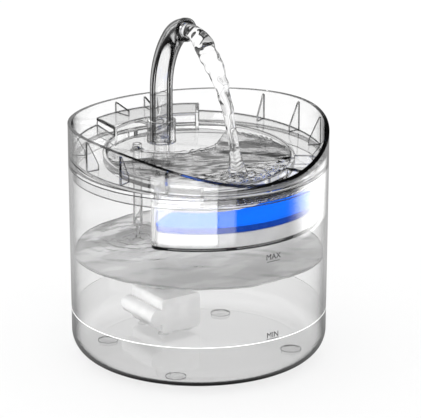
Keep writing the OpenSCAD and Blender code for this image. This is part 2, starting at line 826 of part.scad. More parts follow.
// The motor's ring of steel with its poles, and a coil on each side of it.
module stator_core() {
    y = motor_front_y + coil_t + 2 * coil_gap;
    pole_l = stator_out_r - yoke_t / 2 - stator_in_r;
    color("silver") {
        difference() {
            axial_rod(y, stator_out_r, stator_t);
            axial_rod(y - over, stator_out_r - yoke_t, stator_t + 2 * over);
        }
        for (a = [0:90:270])
            translate([0, y, axis_z]) rotate([0, a, 0])
                translate([stator_in_r, 0, -pole_w / 2]) cube([pole_l, stator_t, pole_w]);
    }
}

module stator_coil() {
    front_y = motor_front_y + coil_gap;
    color([0.72, 0.4, 0.18]) for (y = [front_y, front_y + coil_t + stator_t + 2 * coil_gap])
        difference() {
            axial_rod(y, stator_out_r - coil_inset, coil_t);
            axial_rod(y - over, stator_in_r + coil_inset, coil_t + 2 * over);
        }
}

module motor_potting() {
    color([0.85, 0.85, 0.84]) along_y(pump_back_y - potting_t, potting_t) chamber_outline(potting_slip);
}

module cord_gland() {
    y = pump_back_y - gland_l;
    color("white") translate([lobe_x, y, axis_z]) difference() {
        union() {
            rod_y(gland_r - gland_slip, gland_l);
            translate([0, gland_l, 0]) rod_y(gland_head_r, gland_head_l);
        }
        translate([0, -over, 0]) rod_y(cord_r, gland_l + gland_head_l + 2 * over);
    }
}

module suction_cups() {
    color([0.93, 0.93, 0.93]) at_suckers() translate([0, 0, floor_z]) difference() {
        union() {
            cylinder(r1 = sucker_r, r2 = sucker_stem_r, h = sucker_lip_h, $fn = 48);
            cylinder(r = sucker_stem_r, h = cup_h + sucker_plug, $fn = 48);
        }
        translate([0, 0, -over])
            cylinder(r1 = sucker_r, r2 = sucker_stem_r / 2, h = over + sucker_hollow_h, $fn = 48);
    }
}

tank();
tank_feet();
tray();
overflow_pipe();
filter_box();
foam_pad();
filter_case();
carbon_bed();
resin_bed();
faucet();
faucet_seal();
riser_tube();
pump_housing();
intake_cover();
intake_sponge();
volute_cover();
impeller();
rotor_magnet();
rotor_shaft();
shaft_bushes();
stator_core();
stator_coil();
motor_potting();
cord_gland();
suction_cups();
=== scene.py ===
import bpy, math
import numpy as np
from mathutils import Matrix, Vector


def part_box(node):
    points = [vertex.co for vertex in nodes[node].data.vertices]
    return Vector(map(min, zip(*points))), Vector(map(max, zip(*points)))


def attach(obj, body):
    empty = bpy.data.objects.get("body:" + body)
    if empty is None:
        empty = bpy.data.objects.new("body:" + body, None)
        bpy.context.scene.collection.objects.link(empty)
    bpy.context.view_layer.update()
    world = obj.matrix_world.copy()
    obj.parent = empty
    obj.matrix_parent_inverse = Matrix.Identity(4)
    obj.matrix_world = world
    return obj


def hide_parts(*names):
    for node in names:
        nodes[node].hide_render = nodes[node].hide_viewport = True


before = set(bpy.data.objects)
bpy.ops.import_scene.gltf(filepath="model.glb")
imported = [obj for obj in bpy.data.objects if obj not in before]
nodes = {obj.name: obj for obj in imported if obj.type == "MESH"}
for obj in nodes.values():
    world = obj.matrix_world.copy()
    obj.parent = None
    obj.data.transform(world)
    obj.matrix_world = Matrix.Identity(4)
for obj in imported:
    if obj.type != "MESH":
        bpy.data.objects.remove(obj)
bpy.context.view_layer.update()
mm = 0.001
print("frame loaded:", len(nodes), "nodes")


# Low and high corner of a CAD node's box, as arrays.
def corners(node):
    low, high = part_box(node)
    return np.array(low), np.array(high)


# sizes that several pieces share, read from the frame
tankLow, tankHigh = corners("tank")
trayLow, trayHigh = corners("tray")
boxLow, boxHigh = corners("filter_box")
foamLow, foamHigh = corners("foam_pad")
pipeLow, pipeHigh = corners("overflow_pipe")
riserLow, riserHigh = corners("riser_tube")
faucetLow, faucetHigh = corners("faucet")
spongeLow, spongeHigh = corners("intake_sponge")
tankRadius = tankHigh[0]
seamHeight = tankHigh[2]
faucetY = (riserLow[1] + riserHigh[1]) / 2
pipeX, pipeY = (pipeLow[:2] + pipeHigh[:2]) / 2


# camera, floor and light

shot = {
    "azimuth": -34.0,          # degrees round the object, from its front
    "distance": 1.900,         # level distance from the middle of the reservoir
    "height": 0.733,           # height of the lens over the table
    "aim": (0.0082, 0.1042),   # where it looks: metres right of the reservoir's middle, and height
    "lens": 246.6,             # in mm, as is the sensor's width
    "sensor": 36,
    "clip": (0.05, 40),
}

studio = {
    "floorRadius": 8.0,
    "floorDrop": 0.2 * mm,     # how far the floor lies below the feet
    "floorWhite": 1.03,        # how bright the floor is where the camera sees it plainly
    "paper": 0.75,             # its colour for the light that it throws on the pieces
    "floorShade": 0.26,        # share of the floor's white that a shadow can take away
    "mirrored": 0.06,          # how bright the floor is in a reflection: before the part, and beyond it
    "mirroredBeyond": 0.55,
    "beyond": (-0.20, 0.10),   # metres towards the camera between which that changes
    "roomMirrored": 0.75,      # how bright the room is in a reflection
    "through": 0.10,           # what is added to the white seen through clear pieces, which they take away
    "dimFrom": 0.38,           # the room is white up to this rise of the ray, and dim above dimTo
    "dimTo": 0.60,
    "dim": 0.05,
    "lightLow": 2.6,           # light on the pieces from below, from above, and added from the left
    "lightHigh": 3.1,
    "lightLeft": 0.6,
    "lightFrom": -0.2,         # rise of the ray at which the light is the low one
    "cardEnds": 0.006,         # how softly a card ends, in metres along the floor
    "cards": [                 # bright arcs on the floor that only gloss shows: first and last edge in
                               # degrees from the camera, near and far radius, strength, soft edge
        (8.6, -21.5, 0.386, 0.565, 4.4, 0.004),
        (17.1, 8.6, 0.384, 0.555, 1.5, 0.010),
        (80, 45.0, 0.345, 0.500, 2.2, 0.17),
    ],
}


# Level direction at an angle round the object: sine and less the cosine of it.
def direction(azimuth):
    return Vector((math.sin(math.radians(azimuth)), -math.cos(math.radians(azimuth)), 0))


# The camera stands on a circle round the object and looks at a point beside its middle.
def buildCamera(s):
    away, right = direction(s["azimuth"]), direction(s["azimuth"] + 90)
    place = away * s["distance"] + Vector((0, 0, s["height"]))
    target = right * s["aim"][0] + Vector((0, 0, s["aim"][1]))
    data = bpy.data.cameras.new("camera")
    data.lens = s["lens"]
    data.sensor_width = s["sensor"]
    data.clip_start, data.clip_end = s["clip"]
    camera = bpy.data.objects.new("camera", data)
    camera.location = place
    camera.rotation_euler = (target - place).to_track_quat("-Z", "Y").to_euler()
    bpy.context.scene.collection.objects.link(camera)
    bpy.context.scene.camera = camera


# Adds a node, sets its options, and sets its inputs by name, or by number as _0, _1. A socket is linked.
def put(tree, kind, settings=None, **values):
    node = tree.nodes.new(kind)
    for key, value in (settings or {}).items():
        setattr(node, key, value)
    for key, value in values.items():
        socket = node.inputs[int(key[1:])] if key[0] == "_" else node.inputs[key.replace("_", " ")]
        if isinstance(value, bpy.types.NodeSocket):
            tree.links.new(value, socket)
        elif isinstance(value, (tuple, list)) and len(value) == 3 and socket.type == "RGBA":
            socket.default_value = (*value, 1)
        else:
            socket.default_value = value
    return node


# Short forms of the nodes that are used most.
def math2(tree, operation, a, b=0.0):
    return put(tree, "ShaderNodeMath", {"operation": operation}, _0=a, _1=b).outputs[0]


def times(tree, a, b):
    return math2(tree, "MULTIPLY", a, b)


def ramp(tree, value, low, high, toLow=0.0, toHigh=1.0, kind="SMOOTHSTEP"):
    return put(tree, "ShaderNodeMapRange", {"interpolation_type": kind}, Value=value, From_Min=low,
               From_Max=high, To_Min=toLow, To_Max=toHigh).outputs["Result"]


def choose(tree, factor, a, b):
    return put(tree, "ShaderNodeMix", {"data_type": "FLOAT"}, _0=factor, _2=a, _3=b).outputs[0]


def mixColor(tree, factor, a, b):
    return put(tree, "ShaderNodeMix", {"data_type": "RGBA"}, _0=factor, _6=a, _7=b).outputs[2]


def objectPlace(tree):
    return put(tree, "ShaderNodeTexCoord").outputs["Object"]


# Is this ray seen through or off clear pieces only, is it the camera's own, and has it been mirrored?
def lookRay(tree):
    path = tree.nodes.new("ShaderNodeLightPath").outputs
    mirrored = math2(tree, "GREATER_THAN", path["Glossy Depth"], 0.5)
    return math2(tree, "LESS_THAN", path["Diffuse Depth"], 0.5), path["Is Camera Ray"], mirrored


# The room: white where the camera sees it, dim high up in what clear pieces show of it, and brighter for the
# light that falls on the pieces, more from above and from the left.
def buildWorld(s):
    world = bpy.data.worlds.new("studio")
    bpy.context.scene.world = world
    world.use_nodes = True
    tree = world.node_tree
    look, camera, mirrored = lookRay(tree)
    ray = put(tree, "ShaderNodeSeparateXYZ", Vector=put(tree, "ShaderNodeTexCoord").outputs["Generated"]).outputs
    white = choose(tree, mirrored, 1 + s["through"], s["roomMirrored"])
    seen = ramp(tree, ray["Z"], s["dimFrom"], s["dimTo"], white, s["dim"])
    light = math2(tree, "ADD", ramp(tree, ray["Z"], s["lightFrom"], 1.0, s["lightLow"], s["lightHigh"], "LINEAR"),
                  ramp(tree, ray["X"], -1.0, 1.0, s["lightLeft"], -s["lightLeft"], "LINEAR"))
    strength = choose(tree, camera, choose(tree, look, light, seen), 1.0)
    tree.links.new(strength, tree.nodes["Background"].inputs["Strength"])
    tree.nodes["Background"].inputs["Color"].default_value = (1, 1, 1, 1)


# x times the first number and y times the second, added up.
def alongLine(tree, x, y, line):
    return math2(tree, "ADD", times(tree, x, line[0]), times(tree, y, line[1]))


# The card's strength on the floor between two radii and between the two lines that the wall's reflections
# run along, and 0 elsewhere.
def cardMask(tree, x, y, card, view, ends):
    first, last, near, far, strength, soft = card
    radius = math2(tree, "SQRT", math2(tree, "ADD", math2(tree, "POWER", x, 2), math2(tree, "POWER", y, 2)))
    mask = times(tree, ramp(tree, radius, near, near + ends), ramp(tree, radius, far + ends, far))
    for turn, side in ((first, -1), (last, 1)):
        start = direction(view + turn) * float(tankRadius)
        across = direction(view + 2 * turn + 90) * side
        edge = start.dot(across)
        mask = times(tree, mask, ramp(tree, alongLine(tree, x, y, across), edge, edge + soft))
    return times(tree, mask, strength)


# A flat disc, its rim at equal angles. Seen, it is white less the shadows on it; mirrored, it is dark apart
# from the cards; and for the light that it throws on the pieces it is pale paper.
def buildFloor(s, view):
    turn = np.linspace(0, 2 * np.pi, 97)[:-1]
    rim = np.stack([np.cos(turn), np.sin(turn), 0 * turn], 1) * s["floorRadius"]
    rim[:, 2] = -s["floorDrop"]
    mesh = bpy.data.meshes.new("floor")
    mesh.from_pydata(rim.tolist(), [], [list(range(len(rim)))])
    floor = bpy.data.objects.new("floor", mesh)
    bpy.context.scene.collection.objects.link(floor)
    material = bpy.data.materials.new("paper")
    material.use_nodes = True
    tree = material.node_tree
    tree.nodes.remove(tree.nodes["Principled BSDF"])
    look, camera, mirrored = lookRay(tree)
    place = put(tree, "ShaderNodeSeparateXYZ", Vector=objectPlace(tree)).outputs
    cards = 0.0
    for card in s["cards"]:
        cards = math2(tree, "ADD", cards, cardMask(tree, place["X"], place["Y"], card, view, s["cardEnds"]))
    ahead = alongLine(tree, place["X"], place["Y"], direction(view))
    cards = math2(tree, "ADD", cards, ramp(tree, ahead, *s["beyond"], s["mirroredBeyond"], s["mirrored"]))
    plain = choose(tree, camera, 1 + s["through"] - s["floorShade"], s["floorWhite"] - s["floorShade"])
    glow = choose(tree, mirrored, plain, cards)
    share = 2 * s["floorShade"] / (s["lightLow"] + s["lightHigh"])
    tint = mixColor(tree, mirrored, (share,) * 3, (0.0, 0.0, 0.0))
    shaded = put(tree, "ShaderNodeBsdfDiffuse", Color=tint)
    paper = put(tree, "ShaderNodeBsdfDiffuse", Color=(s["paper"],) * 3)
    shown = put(tree, "ShaderNodeAddShader", _0=shaded.outputs[0],
                _1=put(tree, "ShaderNodeEmission", Strength=glow).outputs[0])
    mix = put(tree, "ShaderNodeMixShader", _0=look, _1=paper.outputs[0], _2=shown.outputs[0])
    tree.links.new(mix.outputs[0], tree.nodes["Material Output"].inputs["Surface"])
    mesh.materials.append(material)


buildCamera(shot)
buildWorld(studio)
buildFloor(studio, shot["azimuth"])
scene = bpy.context.scene
scene.view_settings.view_transform = "Standard"
scene.cycles.max_bounces = 32    # enough for many clear walls one behind another
scene.cycles.transmission_bounces = 32
scene.cycles.transparent_max_bounces = 32
scene.cycles.glossy_bounces = 8
print("studio built")


# effects that several materials use, as node groups

# An empty node group with named sockets: its tree, what it is given, and where its results go.
def newGroup(name, inputs, outputs):
    tree = bpy.data.node_groups.new(name, "ShaderNodeTree")
    for label, kind, value in inputs:
        socket = tree.interface.new_socket(label, in_out="INPUT", socket_type="NodeSocket" + kind)
        if value is not None:
            socket.default_value = value
    for label, kind in outputs:
        tree.interface.new_socket(label, in_out="OUTPUT", socket_type="NodeSocket" + kind)
    return tree, tree.nodes.new("NodeGroupInput").outputs, tree.nodes.new("NodeGroupOutput")


def noise(tree, place, scale, detail=3.0, roughness=0.5):
    return put(tree, "ShaderNodeTexNoise", Vector=place, Scale=scale, Detail=detail, Roughness=roughness).outputs[0]


def bump(tree, height, strength, distance):
    return put(tree, "ShaderNodeBump", Height=height, Strength=strength, Distance=distance).outputs["Normal"]


edgeLine = {"from": (0.42, 0.50), "to": (0.66, 0.58)}    # facing at which the lighter line comes and goes
creaseTurn = (0.985, 0.88)    # cosine between the two normals at which a crease begins and is full


# Plain in the middle of a clear piece and dark where it is seen edge on, with a lighter line inside the dark. Creases
# are the places where the bevelled normal leaves the true one, and are dark too. On clear plastic and water this dark
# is painted shade along edges and creases.
def edgeShadeGroup():
    tree, given, out = newGroup("edgeShade", [
        ("Facing", "Float", 0.0), ("Start", "Float", 0.5), ("End", "Float", 0.9), ("Line", "Float", 0.0),
        ("Bevelled", "Vector", (0, 0, 1)), ("Crease", "Float", 0.0),
        ("Core", "Color", (1, 1, 1, 1)), ("Edge", "Color", (0.1, 0.1, 0.1, 1))], [("Color", "Color")])
    dark = ramp(tree, given["Facing"], given["Start"], given["End"])
    line = times(tree, ramp(tree, given["Facing"], *edgeLine["from"]),
                 ramp(tree, given["Facing"], *edgeLine["to"]))
    dark = math2(tree, "SUBTRACT", dark, times(tree, line, given["Line"]))
    agree = put(tree, "ShaderNodeVectorMath", {"operation": "DOT_PRODUCT"}, _0=given["Bevelled"],
                _1=put(tree, "ShaderNodeNewGeometry").outputs["Normal"]).outputs["Value"]
    crease = ramp(tree, math2(tree, "ABSOLUTE", agree), *creaseTurn)
    dark = math2(tree, "MAXIMUM", dark, times(tree, crease, given["Crease"]))
    tree.links.new(mixColor(tree, dark, given["Core"], given["Edge"]), out.inputs["Color"])
    return tree


grainSizes = {"waveScale": 34.0, "waveDeep": 0.4 * mm, "grainDeep": 0.08 * mm, "glossScale": 120.0}


# Moulded plastic: a fine grain over slow waves, and gloss that wanders a little.
def grainGroup(s):
    tree, given, out = newGroup("mouldedGrain", [
        ("Scale", "Float", 900.0), ("Depth", "Float", 0.1), ("Waves", "Float", 0.1),
        ("Smooth", "Float", 0.3), ("Rough", "Float", 0.5)], [("Normal", "Vector"), ("Roughness", "Float")])
    place = objectPlace(tree)
    waves = bump(tree, noise(tree, place, s["waveScale"], 1.0), given["Waves"], s["waveDeep"])
    grain = put(tree, "ShaderNodeBump", Height=noise(tree, place, given["Scale"], 2.0), Strength=given["Depth"],
                Distance=s["grainDeep"], Normal=waves)
    wander = noise(tree, place, s["glossScale"], 4.0, 0.65)
    rough = ramp(tree, wander, 0.35, 0.65, given["Smooth"], given["Rough"], "LINEAR")
    tree.links.new(grain.outputs["Normal"], out.inputs["Normal"])
    tree.links.new(rough, out.inputs["Roughness"])
    return tree


poreSizes = {"fineTimes": 2.3, "strut": (0.06, 0.22), "deep": 0.25 * mm}    # a strut's half width, in cells


# Open foam: round cells with openings between thin struts, where the darker colour is painted shade, and a finer set
# of cells inside them.
def poresGroup(s):
    tree, given, out = newGroup("foamPores", [
        ("Scale", "Float", 900.0), ("Depth", "Float", 0.8), ("Strut", "Color", (1, 1, 1, 1)),
        ("Hole", "Color", (0, 0, 0, 1))], [("Color", "Color"), ("Normal", "Vector")])
    place = objectPlace(tree)
    cells = put(tree, "ShaderNodeTexVoronoi", {"feature": "DISTANCE_TO_EDGE"}, Vector=place, Scale=given["Scale"])
    fine = put(tree, "ShaderNodeTexVoronoi", Vector=place, Scale=times(tree, given["Scale"], s["fineTimes"]))
    # painted shade in the openings
    hole = times(tree, ramp(tree, cells.outputs[0], *s["strut"]),
                 ramp(tree, fine.outputs[0], 0.15, 0.6, 0.55, 1.0))
    tree.links.new(mixColor(tree, hole, given["Strut"], given["Hole"]), out.inputs["Color"])
    tree.links.new(bump(tree, math2(tree, "SUBTRACT", 1.0, hole), given["Depth"], s["deep"]), out.inputs["Normal"])
    return tree


granuleSizes = {"gap": 0.12, "gapShadeColor": (0.01, 0.01, 0.01), "deep": 0.4 * mm}


# Packed granules: each cell has its own tone, with painted shade in dark gaps between them.
def granulesGroup(s):
    tree, given, out = newGroup("granules", [
        ("Scale", "Float", 600.0), ("Low", "Color", (0, 0, 0, 1)), ("High", "Color", (1, 1, 1, 1))],
        [("Color", "Color"), ("Normal", "Vector")])
    place = objectPlace(tree)
    cells = put(tree, "ShaderNodeTexVoronoi", Vector=place, Scale=given["Scale"])
    edges = put(tree, "ShaderNodeTexVoronoi", {"feature": "DISTANCE_TO_EDGE"}, Vector=place, Scale=given["Scale"])
    tone = put(tree, "ShaderNodeSeparateXYZ", Vector=cells.outputs["Color"]).outputs["X"]
    body = ramp(tree, edges.outputs[0], 0.0, s["gap"])
    color = mixColor(tree, tone, given["Low"], given["High"])
    tree.links.new(mixColor(tree, body, s["gapShadeColor"], color), out.inputs["Color"])
    tree.links.new(bump(tree, body, 0.9, s["deep"]), out.inputs["Normal"])
    return tree


edgeShade, mouldedGrain = edgeShadeGroup(), grainGroup(grainSizes)
foamPores, granules = poresGroup(poreSizes), granulesGroup(granuleSizes)


def useGroup(tree, group, **values):
    return put(tree, "ShaderNodeGroup", {"node_tree": group}, **values).outputs


# A material with one shader, and the shader's own plain numbers and colours set.
def newMaterial(name, **plain):
    material = bpy.data.materials.new(name)
    material.use_nodes = True
    tree = material.node_tree
    shader = tree.nodes["Principled BSDF"]
    for key, value in plain.items():
        socket = shader.inputs[key.replace("_", " ")]
        socket.default_value = (*value, 1) if isinstance(value, tuple) else value
    return material, tree, shader


def objectHeight(tree):
    return put(tree, "ShaderNodeSeparateXYZ", Vector=objectPlace(tree)).outputs["Z"]


def normalUp(tree):
    normal = put(tree, "ShaderNodeNewGeometry").outputs["Normal"]
    return put(tree, "ShaderNodeSeparateXYZ", Vector=normal).outputs["Z"]


def facingOf(tree):
    return put(tree, "ShaderNodeLayerWeight", Blend=0.5).outputs["Facing"]


# One colour times another where the factor is 1.
def darken(tree, factor, color, by):
    return put(tree, "ShaderNodeMix", {"data_type": "RGBA", "blend_type": "MULTIPLY"}, _0=factor, _6=color,
               _7=by).outputs[2]


# clear plastics: core is the tint where a piece is plainly looked through and edge the painted dark shade where it is
# seen edge on and along creases, start and end are the facing at which that painted shade begins and is full, and
# bevel is a crease's width in mm
clearLooks = {
    "tankClear": {"start": 0.66, "end": 1.0, "crease": 0.55, "core": 0.985, "edge": 0.35, "waves": 0.04},
    "trayClear": {"start": 0.60, "end": 0.88, "crease": 1.0, "core": 0.985, "edge": 0.0, "waves": 0.06, "bevel": 1.3},
    "boxClear": {"start": 0.66, "end": 0.95, "crease": 0.75, "core": 0.985, "edge": 0.12, "waves": 0.04},
    "faucetClear": {"start": 0.26, "end": 0.32, "crease": 0.95, "core": 0.97, "edge": 0.0, "waves": 0.02, "line": 0.6},
    "vinylClear": {"start": 0.60, "end": 1.0, "crease": 0.3, "core": 0.97, "edge": 0.30, "waves": 0.08},
    "pipeClear": {"start": 0.45, "end": 0.80, "crease": 0.8, "core": 0.97, "edge": 0.03, "waves": 0.05},
}
clearBody = {"bevel": 0.7, "line": 0.0, "waveScale": 500.0, "absorb": (0.5, 0.5, 0.5), "density": 4.0}

foot = {                         # painted shade on the reservoir below its lower level line
    "height": seamHeight - 104.0 * mm, "soft": 0.3 * mm,
    "side": (0.87,) * 3,         # painted shade on its upright faces, and on its level ones
    "flat": (0.96,) * 3,
    "turn": 10 * mm,             # height below which the base turns under, with a painted black shade line
    "turnSoft": 3 * mm, "turnShadeColor": (0.004, 0.004, 0.004),
    "start": 0.32, "end": 0.42,  # facing at which that line begins and is full
}

gutter = {                       # painted black shade on the floor of the tray's gutter
    "heights": (seamHeight - 6.8 * mm, seamHeight - 3.8 * mm), "heightSoft": 0.4 * mm,
    "radii": (71 * mm, 81 * mm), "radiusSoft": 1 * mm,
    "reach": 33.0,               # of its ends from the front, in degrees
    # colour of the painted shade
    "color": (0.01, 0.01, 0.012),
}


# 1 from low to high, and softly 0 outside them.
def within(tree, value, low, high, soft):
    return times(tree, ramp(tree, value, low - soft, low), ramp(tree, value, high + soft, high))


# 1 on level faces between two heights and two radii, as far round from the front as the gutter reaches: where the
# gutter's black shade is painted.
def gutterShadeMask(tree, s):
    place = objectPlace(tree)
    flat = put(tree, "ShaderNodeVectorMath", {"operation": "MULTIPLY"}, _0=place, _1=(1, 1, 0)).outputs[0]
    radius = put(tree, "ShaderNodeVectorMath", {"operation": "LENGTH"}, _0=flat).outputs["Value"]
    front = put(tree, "ShaderNodeVectorMath", {"operation": "NORMALIZE"}, _0=flat).outputs[0]
    front = put(tree, "ShaderNodeVectorMath", {"operation": "DOT_PRODUCT"}, _0=front, _1=(0, -1, 0)).outputs["Value"]
    reach = math.cos(math.radians(s["reach"]))
    mask = ramp(tree, front, reach - 0.01, reach)
    mask = times(tree, mask, within(tree, objectHeight(tree), *s["heights"], s["heightSoft"]))
    mask = times(tree, mask, within(tree, radius, *s["radii"], s["radiusSoft"]))
    return times(tree, mask, within(tree, math2(tree, "ABSOLUTE", normalUp(tree)), 0.8, 1.2, 0.1))


# Painted shade: a greyer foot below a height, and a black line where the base turns under.
def footShade(tree, s, color, facing):
    height, up = objectHeight(tree), normalUp(tree)
    low = ramp(tree, height, s["height"] - s["soft"], s["height"] + s["soft"], 1.0, 0.0)
    color = darken(tree, low, color, mixColor(tree, math2(tree, "ABSOLUTE", up), s["side"], s["flat"]))
    under = times(tree, ramp(tree, height, s["turn"], s["turn"] - s["turnSoft"]),
                  ramp(tree, facing, s["start"], s["end"]))
    turned = times(tree, ramp(tree, up, -0.25, -0.45), ramp(tree, up, -0.99, -0.95))
    return mixColor(tree, times(tree, under, turned), color, s["turnShadeColor"])


# Clear plastic with painted dark shade along its edges and creases. The painted shade shows only where the piece is
# looked through, so it takes no light from the pieces inside.
def clearPlastic(name, s):
    material, tree, shader = newMaterial(name, Transmission_Weight=1.0, IOR=1.49, Roughness=0.0)
    s = {**clearBody, **s}
    facing = facingOf(tree)
    bevelled = put(tree, "ShaderNodeBevel", {"samples": 4}, Radius=s["bevel"] * mm).outputs["Normal"]
    color = useGroup(tree, edgeShade, Facing=facing, Start=s["start"], End=s["end"], Line=s["line"],
                     Bevelled=bevelled, Crease=s["crease"], Core=(s["core"],) * 3, Edge=(s["edge"],) * 3)["Color"]
    if name == "tankClear":
        color = footShade(tree, foot, color, facing)
    if name == "trayClear":
        color = mixColor(tree, gutterShadeMask(tree, gutter), color, gutter["color"])
    isLook, _, _ = lookRay(tree)
    # painted edge and crease shade on rays that look through the piece, plain white for the light
    tree.links.new(mixColor(tree, isLook, (1.0, 1.0, 1.0), color), shader.inputs["Base Color"])
    grain = useGroup(tree, mouldedGrain, Scale=s["waveScale"], Depth=0.0, Waves=s["waves"])
    tree.links.new(grain["Normal"], shader.inputs["Normal"])
    absorb = put(tree, "ShaderNodeVolumeAbsorption", Color=s["absorb"], Density=s["density"])
    tree.links.new(absorb.outputs[0], tree.nodes["Material Output"].inputs["Volume"])
    return material


rubberLook = {
    "color": (0.86, 0.87, 0.87), "paler": 0.94,
    "core": 0.10, "edge": 0.75,      # how full it is where it is looked through, and edge on
    "start": 0.55, "end": 1.0, "crease": 0.6, "bevel": 0.5 * mm,
    "cloudScale": 700.0, "grainScale": 900.0,
}


# Milky silicone: thin where it is looked through, and fuller along its edges.
def rubberMaterial(name, s):
    material, tree, shader = newMaterial(name, Roughness=0.35)
    bevelled = put(tree, "ShaderNodeBevel", {"samples": 4}, Radius=s["bevel"]).outputs["Normal"]
    full = useGroup(tree, edgeShade, Facing=facingOf(tree), Start=s["start"], End=s["end"], Line=0.0,
                    Bevelled=bevelled, Crease=s["crease"], Core=(s["core"],) * 3, Edge=(s["edge"],) * 3)["Color"]
    tree.links.new(full, shader.inputs["Alpha"])
    grain = useGroup(tree, mouldedGrain, Scale=s["grainScale"], Depth=0.1, Waves=0.05)
    tree.links.new(grain["Normal"], shader.inputs["Normal"])
    cloud = noise(tree, objectPlace(tree), s["cloudScale"])
    clouded = mixColor(tree, cloud, s["color"], tuple(s["paler"] * v for v in s["color"]))
    tree.links.new(clouded, shader.inputs["Base Color"])
    return material


# water: core near the front, deep the painted shade at the far side, pale the painted highlight in its streaks, edge
# the painted shade where it is seen edge on
waterLooks = {
    "basinWaterLook": {"start": 0.640, "end": 0.730, "core": 0.98, "edge": 0.01, "clear": 1.0, "fine": 0.04,
                       "pale": 0.98, "deep": 0.93},
    # the reservoir water's grey body is painted shade for what its surface reflects
    "reservoirWaterLook": {"start": 0.66, "end": 0.85, "core": 0.71, "edge": 0.20, "clear": 0.5, "fine": 0.02,
                           "pale": 0.84, "deep": 0.45},
    "streamLook": {"start": 0.45, "end": 0.95, "core": 0.97, "edge": 0.10, "clear": 1.0, "fine": 0.10,
                   "pale": 0.98, "deep": 0.93},
}

waterBody = {
    "farShadeWay": 70,                   # the far side, where the shade is painted, lies behind the middle of the camera's way and this many
    "farShadeAt": 110 * mm,              # degrees round from it, and the painted deep shade is full at this distance
    "stretch": (0.45, 1.0, 1.0), "streakScale": 60.0, "streak": (0.50, 0.60),
    "fineScale": 160.0, "fineDeep": 0.6 * mm,
}


# Clear or slightly milky water, with long streaks of painted pale highlight on a body whose painted shade deepens
# towards the far side, and painted shade where it is seen edge on.
def waterMaterial(name, s):
    material, tree, shader = newMaterial(name, Transmission_Weight=s["clear"], IOR=1.33, Roughness=0.0)
    s = {**waterBody, **s}
    place = objectPlace(tree)
    away = (direction(shot["azimuth"]) + direction(shot["azimuth"] + s["farShadeWay"])) * -1
    depth = put(tree, "ShaderNodeVectorMath", {"operation": "DOT_PRODUCT"}, _0=place, _1=away).outputs["Value"]
    # painted shade that deepens towards the far side
    far = ramp(tree, depth, 0.0, s["farShadeAt"])
    body = mixColor(tree, far, (s["core"],) * 3, (s["deep"],) * 3)
    long = put(tree, "ShaderNodeVectorMath", {"operation": "MULTIPLY"}, _0=place, _1=s["stretch"]).outputs[0]
    # painted pale highlight along long streaks
    streak = ramp(tree, noise(tree, long, s["streakScale"], 2.0, 0.45), *s["streak"])
    body = mixColor(tree, streak, body, (s["pale"],) * 3)
    # painted dark shade where the water is seen edge on
    color = useGroup(tree, edgeShade, Facing=facingOf(tree), Start=s["start"], End=s["end"],
                     Core=body, Edge=(s["edge"],) * 3)["Color"]
    tree.links.new(color, shader.inputs["Base Color"])
    fine = noise(tree, place, s["fineScale"], 2.0)
    tree.links.new(bump(tree, fine, s["fine"], s["fineDeep"]), shader.inputs["Normal"])
    return material


# solid finishes: colour, the roughness from low to high, and the grain's scale, depth and waves
solidLooks = {
    "pumpWhite": {"color": (0.90, 0.90, 0.90), "low": 0.30, "high": 0.45, "scale": 900, "depth": 0.25, "waves": 0.05},
    "rotorWhite": {"color": (0.78, 0.78, 0.76), "low": 0.25, "high": 0.40, "scale": 900, "depth": 0.15, "waves": 0.04},
    "caseWhite": {"color": (0.90, 0.90, 0.90), "low": 0.35, "high": 0.55, "scale": 1200, "depth": 0.35, "waves": 0.08},
    "magnetDark": {"color": (0.035, 0.035, 0.04), "low": 0.35, "high": 0.55, "scale": 1600, "depth": 0.5,
                   "waves": 0.05},
    "ceramicPale": {"color": (0.82, 0.80, 0.74), "low": 0.10, "high": 0.18, "scale": 1600, "depth": 0.05,
                    "waves": 0.0},
    "rubberBlack": {"color": (0.02, 0.02, 0.02), "low": 0.55, "high": 0.75, "scale": 1200, "depth": 0.4,
                    "waves": 0.05},
    "inkBlack": {"color": (0.012, 0.012, 0.013), "low": 0.4, "high": 0.5, "scale": 900, "depth": 0.05, "waves": 0.0},
    "lineWhite": {"color": (0.9, 0.9, 0.9), "low": 0.4, "high": 0.5, "scale": 900, "depth": 0.05, "waves": 0.0},
    "pottingGrey": {"color": (0.45, 0.45, 0.43), "low": 0.2, "high": 0.5, "scale": 400, "depth": 0.3, "waves": 0.5},
}
solidShade = {"shade": 0.88, "scale": 60.0, "from": 0.35, "to": 0.7}    # large clouds of a darker tone


# A moulded finish: one colour with large soft clouds of a darker one.
def solidMaterial(name, s):
    material, tree, shader = newMaterial(name)
    grain = useGroup(tree, mouldedGrain, Scale=float(s["scale"]), Depth=s["depth"], Waves=s["waves"],
                     Smooth=s["low"], Rough=s["high"])
    place = objectPlace(tree)
    shade = tuple(solidShade["shade"] * c for c in s["color"])
    cloud = ramp(tree, noise(tree, place, solidShade["scale"], 5.0, 0.6), solidShade["from"], solidShade["to"])
    color = mixColor(tree, cloud, s["color"], shade)
    tree.links.new(color, shader.inputs["Base Color"])
    tree.links.new(grain["Normal"], shader.inputs["Normal"])
    tree.links.new(grain["Roughness"], shader.inputs["Roughness"])
    return material


# foam and sponge: struts and holes, what both are multiplied by below a height, which is painted shade on the sides,
# and glow, which is painted light
foamLooks = {
    "foamBlue": {"strut": (0.002, 0.175, 0.98), "hole": (0.001, 0.12, 0.83), "low": (0.8, 0.30, 0.38),
                 "scale": 1100.0, "glow": 0.5},
    "spongeDark": {"strut": (0.07, 0.07, 0.075), "hole": (0.008, 0.008, 0.009), "low": (1.0, 1.0, 1.0),
                   "scale": 800.0, "glow": 0.0},
}


